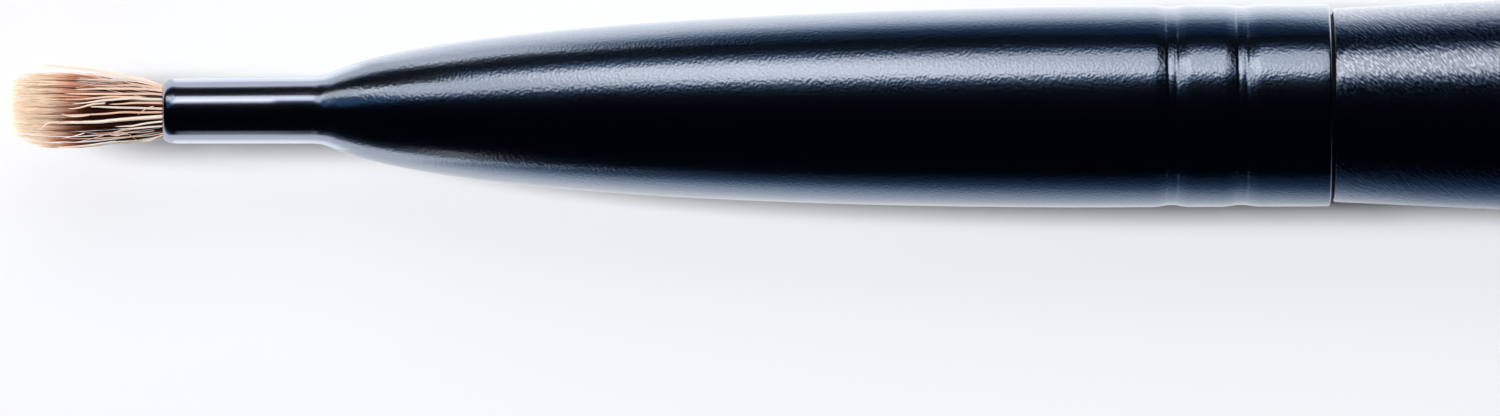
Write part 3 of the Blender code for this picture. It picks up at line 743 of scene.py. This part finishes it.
def ferrule_finish():
    """Black lacquered metal: glossy on the drawn neck, satin with a fine grain behind it."""
    dark_grain, pale_grain = (0.06, 0.13, 0.23), (0.11, 0.18, 0.29)
    neck_tone, smudge_tone = (0.2, 0.26, 0.4), (0.02, 0.07, 0.19)
    finish = Finish("black_lacquered_metal")
    satin = finish.between(finish.x(), MOUTH + SATIN_START, MOUTH + SATIN_END)
    smudge = finish.noise(260.0, detail=5.0, stretch=(0.6, 1.0, 1.0))
    grain = finish.noise(6800.0, detail=0.5, stretch=(1.0, 0.9, 0.9))
    grained = finish.mix(finish.between(grain, 0.4, 0.68), dark_grain, pale_grain)
    tone = finish.mix(satin, neck_tone, grained)
    tone = finish.mix(finish.between(smudge, 0.4, 0.75, to_high=0.25), tone, smudge_tone)
    finish.feed(tone, "Base Color")
    roughness = finish.between(satin, 0.0, 1.0, to_low=0.17, to_high=0.21)
    smear = finish.between(smudge, 0.3, 0.7, to_low=-0.02, to_high=0.03)
    finish.feed(finish.combine(roughness, smear), "Roughness")
    finish.fix(Metallic=1.0, Coat_Weight=1.0, Coat_Roughness=0.16, Coat_IOR=3.3)
    finish.bump(finish.combine(grain, satin, "MULTIPLY"), 0.0092 * MM)
    finish.bump(finish.noise(900.0, detail=3.0), 0.001 * MM)
    return finish.material


def skin_finish():
    """Black skin with a satin gloss, its fine grain drawn out along steep spirals."""
    dark_grain, pale_grain, wear_tone = (0.02, 0.07, 0.16), (0.28, 0.34, 0.45), (0.02, 0.06, 0.16)
    finish = Finish("black_grained_skin")
    spiral = finish.add("ShaderNodeVectorRotate", rotation_type="X_AXIS")
    spiral.inputs["Center"].default_value = (0.0, 0.0, AXIS_HEIGHT)
    finish.link(finish.place, spiral.inputs["Vector"])
    finish.link(finish.combine(finish.x(), GRAIN_TWIST, "MULTIPLY"), spiral.inputs["Angle"])
    finish.place = spiral.outputs["Vector"]
    grain = finish.noise(9000.0, detail=0.5, stretch=(0.7, 1.0, 1.0), roughness=0.5)
    pebbles = finish.noise(5200.0, detail=0.5, stretch=(0.7, 1.0, 1.0), roughness=0.5)
    wear = finish.noise(190.0, detail=5.0, stretch=(0.5, 1.0, 1.0))
    tone = finish.mix(finish.between(grain, 0.42, 0.66), dark_grain, pale_grain)
    tone = finish.mix(finish.between(wear, 0.4, 0.75, to_high=0.2), tone, wear_tone)
    finish.feed(tone, "Base Color")
    finish.feed(finish.between(wear, 0.3, 0.7, to_low=0.22, to_high=0.26), "Roughness")
    finish.fix(Metallic=1.0, Coat_Weight=1.0, Coat_Roughness=0.14, Coat_IOR=3.2)
    finish.bump(pebbles, 0.009 * MM)
    finish.bump(grain, 0.019 * MM)
    return finish.material


def hair_finish():
    """Natural hair: each hair's own colour, faint streaks along it and a soft gloss."""
    streak_tone, plain_tone = (0.94, 0.9, 0.87), (1.0, 1.0, 1.0)
    finish = Finish("natural_hair")
    colour = finish.add("ShaderNodeAttribute", attribute_name="hair_colour").outputs["Color"]
    streaks = finish.noise(9000.0, detail=3.0, stretch=(0.12, 1.0, 1.0))
    shade = finish.mix(finish.between(streaks, 0.35, 0.7), streak_tone, plain_tone)
    finish.feed(finish.mix(1.0, colour, shade, "MULTIPLY"), "Base Color")
    finish.feed(finish.between(streaks, 0.3, 0.7, to_low=0.32, to_high=0.5), "Roughness")
    finish.fix(IOR=1.4, Specular_IOR_Level=0.2)
    finish.bump(finish.noise(24000.0, detail=2.0, stretch=(1.0, 0.3, 0.3)), 0.001 * MM)
    return finish.material


def wood_finish():
    """Pale wood with rings drawn out along it, near black at the shoulder: black paint there, and painted
    shade where the seam shows it.
    """
    finish = Finish("handle_wood")
    rings = finish.noise(420.0, detail=5.0, stretch=(0.08, 1.0, 1.0))
    ring_share = finish.between(rings, 0.35, 0.68)
    tone = finish.mix(ring_share, linear(186, 146, 104), linear(132, 92, 58))
    # Near black at the shoulder: black paint on the wood, and painted shade in the seam
    paint_and_shade_tone = finish.mix(ring_share, (0.004, 0.004, 0.005), (0.012, 0.011, 0.012))
    rear_edge = MOUTH + FERRULE_LENGTH
    paint_and_shade_share = finish.between(finish.x(), rear_edge - SEAM_PAINT_AND_SHADE_REACH, rear_edge)
    finish.feed(finish.mix(paint_and_shade_share, tone, paint_and_shade_tone), "Base Color")
    finish.feed(finish.between(rings, 0.3, 0.7, to_low=0.5, to_high=0.7), "Roughness")
    finish.bump(finish.noise(3000.0, detail=3.0, stretch=(0.1, 1.0, 1.0)), 0.01 * MM)
    return finish.material


def glue_finish(name, deep, clear):
    """Cured glue, cloudy between two tones."""
    finish = Finish(name)
    cloud = finish.noise(900.0)
    finish.feed(finish.mix(finish.between(cloud, 0.35, 0.7), deep, clear), "Base Color")
    finish.feed(finish.between(cloud, 0.3, 0.7, to_low=0.12, to_high=0.3), "Roughness")
    finish.bump(finish.noise(2500.0, detail=3.0), 0.01 * MM)
    return finish.material


def thread_finish():
    """Twisted thread: fine slanted plies and a matt, slightly fuzzy surface."""
    finish = Finish("binding_thread")
    plies = finish.add("ShaderNodeTexWave", wave_type="BANDS", bands_direction="DIAGONAL")
    plies.inputs["Scale"].default_value = 2600.0
    plies.inputs["Distortion"].default_value = 1.5
    finish.link(finish.place, plies.inputs["Vector"])
    ply = plies.outputs["Fac"]
    finish.feed(finish.mix(ply, linear(150, 138, 118), linear(226, 216, 198)), "Base Color")
    finish.feed(finish.between(ply, 0.0, 1.0, to_low=0.9, to_high=0.7), "Roughness")
    finish.fix(Sheen_Weight=0.4)
    finish.bump(ply, 0.02 * MM)
    return finish.material


def floor_finish():
    """A matt pale surface, faintly cloudy."""
    finish = Finish("pale_floor")
    cloud = finish.noise(14.0, detail=3.0)
    finish.feed(finish.mix(cloud, (0.806, 0.804, 0.814), (0.818, 0.816, 0.826)), "Base Color")
    finish.feed(finish.between(cloud, 0.3, 0.7, to_low=0.8, to_high=0.9), "Roughness")
    finish.fix(Specular_IOR_Level=0.1)
    finish.bump(finish.noise(2200.0, detail=2.0), 0.002 * MM)
    return finish.material


def dress(piece, material):
    """Gives a new piece its one material."""
    piece.data.materials.clear()
    piece.data.materials.append(material)


def dress_node(name, material):
    """Gives a CAD node that stays its material, in every slot."""
    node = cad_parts[name]
    for slot in node.material_slots:
        slot.material = material


def make_floor():
    """A wide plain floor under the brush."""
    shape = bmesh.new()
    bmesh.ops.create_grid(shape, x_segments=8, y_segments=8, size=FLOOR_HALF_WIDTH)
    mesh = bpy.data.meshes.new("floor")
    shape.to_mesh(mesh)
    shape.free()
    floor = put_in_scene("floor", mesh)
    dress(floor, floor_finish())


def cloth_finish(name, tone):
    """Dull black cloth."""
    finish = Finish(name)
    finish.feed(finish.mix(finish.noise(400.0), CLOTH_BLACK, tone), "Base Color")
    finish.fix(Roughness=1.0, Specular_IOR_Level=0.0)
    return finish


def open_up(finish):
    """Lets the light through a cloth that its mesh says it passes, in each colour."""
    passed = finish.add("ShaderNodeAttribute", attribute_name="passed_light").outputs["Color"]
    opening = finish.add("ShaderNodeBsdfTransparent")
    finish.link(passed, opening.inputs["Color"])
    both = finish.add("ShaderNodeAddShader")
    finish.link(finish.shader.outputs["BSDF"], both.inputs[0])
    finish.link(opening.outputs["BSDF"], both.inputs[1])
    finish.link(both.outputs["Shader"], finish.tree.nodes["Material Output"].inputs["Surface"])


def stage_cloth(name, corners, faces, finish):
    """A card or net that only the brush's gloss sees, as a photographer sets up beside the work."""
    mesh = bpy.data.meshes.new(name)
    mesh.from_pydata(corners, [], faces)
    cloth = put_in_scene(name, mesh)
    dress(cloth, finish.material)
    cloth.visible_camera = False
    cloth.visible_diffuse = False
    cloth.visible_shadow = False
    cloth.visible_transmission = False
    return mesh


def make_net(name, side, reaches, shares, tone):
    """A graded net over the floor on one side, so that the rim's gloss fades towards the middle."""
    corners, faces, covers = [], [], []
    rows = len(shares) + 1
    for x, reach in reaches:
        for share, cover in shares:
            corners.append((x * MM, side * reach * share * MM, NET_HEIGHT))
            covers.append(cover)
        corners.append((x * MM, side * NET_EDGE, NET_HEIGHT))
        covers.append(1.0)
    for station in range(len(reaches) - 1):
        for row in range(rows - 1):
            here = station * rows + row
            faces.append((here, here + rows, here + rows + 1, here + 1))
    finish = cloth_finish(name, tone)
    open_up(finish)
    mesh = stage_cloth(name, corners, faces, finish)
    attribute = mesh.color_attributes.new("passed_light", "FLOAT_COLOR", "POINT")
    for index, cover in enumerate(covers):
        attribute.data[index].color = (*[(1 - cover) ** power for power in NET_POWERS], 1.0)


def make_neck_flag():
    """A small black card close to the neck that trims its highlight on the far side."""
    corners = []
    for x in NECK_FLAG_ENDS:
        corners += [beside(slant, NECK_FLAG_DISTANCE, x) for slant in NECK_FLAG_SLANTS]
    stage_cloth("neck_flag", corners, [(0, 1, 3, 2)], cloth_finish("neck_flag", NECK_FLAG_TONE))


def beside(slant, distance, x):
    """A place this far from the brush's axis, at this slant in degrees from straight above towards +Y."""
    slant = math.radians(slant)
    return x, distance * math.sin(slant), AXIS_HEIGHT + distance * math.cos(slant)


def facing_axis(slant, roll):
    """The rotation of a lamp that faces the axis from this slant, rolled round its own middle."""
    tilt = Matrix.Rotation(-math.radians(slant), 3, "X")
    return (tilt @ Matrix.Rotation(math.radians(roll), 3, "Z")).to_euler()


def make_lamp(name, place, rotation, length, width, radiance, tint, for_gloss):
    """A soft box that shows only in gloss, or that lights everything and doesn't show in gloss."""
    lamp = bpy.data.lights.new(name, "AREA")
    lamp.shape = "RECTANGLE"
    lamp.size = length
    lamp.size_y = width
    lamp.energy = radiance * math.pi * length * width
    lamp.color = tint
    box = put_in_scene(name, lamp)
    box.location = place
    box.rotation_euler = rotation
    box.visible_camera = False
    box.visible_diffuse = not for_gloss
    box.visible_glossy = for_gloss


def light_world():
    """A very dim blue surrounding."""
    world = bpy.data.worlds.new("dim_studio")
    bpy.context.scene.world = world
    world.use_nodes = True
    background = world.node_tree.nodes["Background"]
    background.inputs["Color"].default_value = (*WORLD_TINT, 1.0)
    background.inputs["Strength"].default_value = WORLD_STRENGTH


def light_floor():
    """The lamps that light the floor and the hair."""
    for name, place, turns, length, width, radiance, tint in FLOOR_LAMPS:
        rotation = [math.radians(turn) for turn in turns]
        make_lamp(name, place, rotation, length, width, radiance, tint, for_gloss=False)


def light_gloss():
    """The lamps that shape the brush's highlights and rims."""
    for name, slant, distance, x, roll, length, width, radiance, tint in GLOSS_LAMPS:
        place = beside(slant, distance, x)
        rotation = facing_axis(slant, roll)
        make_lamp(name, place, rotation, length, width, radiance, tint, for_gloss=True)
    for name, far_edge, radiance in LOW_STRIPS:
        place = (LOW_STRIP_MIDDLE, (LOW_STRIP_START + far_edge) / 2, LOW_STRIP_HEIGHT)
        width = far_edge - LOW_STRIP_START
        face_up = (math.pi, 0.0, 0.0)
        make_lamp(name, place, face_up, LOW_STRIP_LENGTH, width, radiance, LAMP_TINT, for_gloss=True)


def make_camera():
    """A camera straight above, as in the photograph."""
    data = bpy.data.cameras.new("camera")
    data.lens = LENS
    data.sensor_width = SENSOR
    data.sensor_fit = "HORIZONTAL"
    data.clip_start = CLIP_START
    data.clip_end = CLIP_END
    camera = put_in_scene("camera", data)
    camera.location = (*VIEW_MIDDLE, AXIS_HEIGHT + CAMERA_DISTANCE)
    camera.rotation_euler = (0.0, 0.0, VIEW_ROLL)
    bpy.context.scene.camera = camera


def dress_brush():
    """Replaces the shell, the skin and the tuft with finer ones and gives the other nodes their materials."""
    shell = make_ferrule_shell()
    dress(shell, ferrule_finish())
    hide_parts("ferrule")
    skin = make_handle_skin()
    dress(skin, skin_finish())
    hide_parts("handle_sleeve")
    hair = make_hair()
    dress(hair, hair_finish())
    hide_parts("hair_tuft")
    for piece in (shell, skin, hair):
        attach(piece, "root")
    dress_node("handle_core", wood_finish())
    dress_node("hair_root_bundle", glue_finish("glued_roots", linear(60, 32, 20), linear(118, 70, 44)))
    dress_node("root_glue_plug", glue_finish("root_glue", linear(150, 104, 48), linear(206, 164, 92)))
    dress_node("tenon_glue_film", glue_finish("tenon_glue", linear(160, 120, 60), linear(214, 178, 110)))
    dress_node("root_binding_thread", thread_finish())


dress_brush()
make_floor()
make_net("net_near", -1, NEAR_REACHES, NEAR_SHARES, NEAR_NET_TONE)
make_net("net_far", 1, FAR_REACHES, FAR_SHARES, FAR_NET_TONE)
make_neck_flag()
light_world()
light_floor()
light_gloss()
make_camera()
bpy.context.scene.view_settings.view_transform = "Standard"
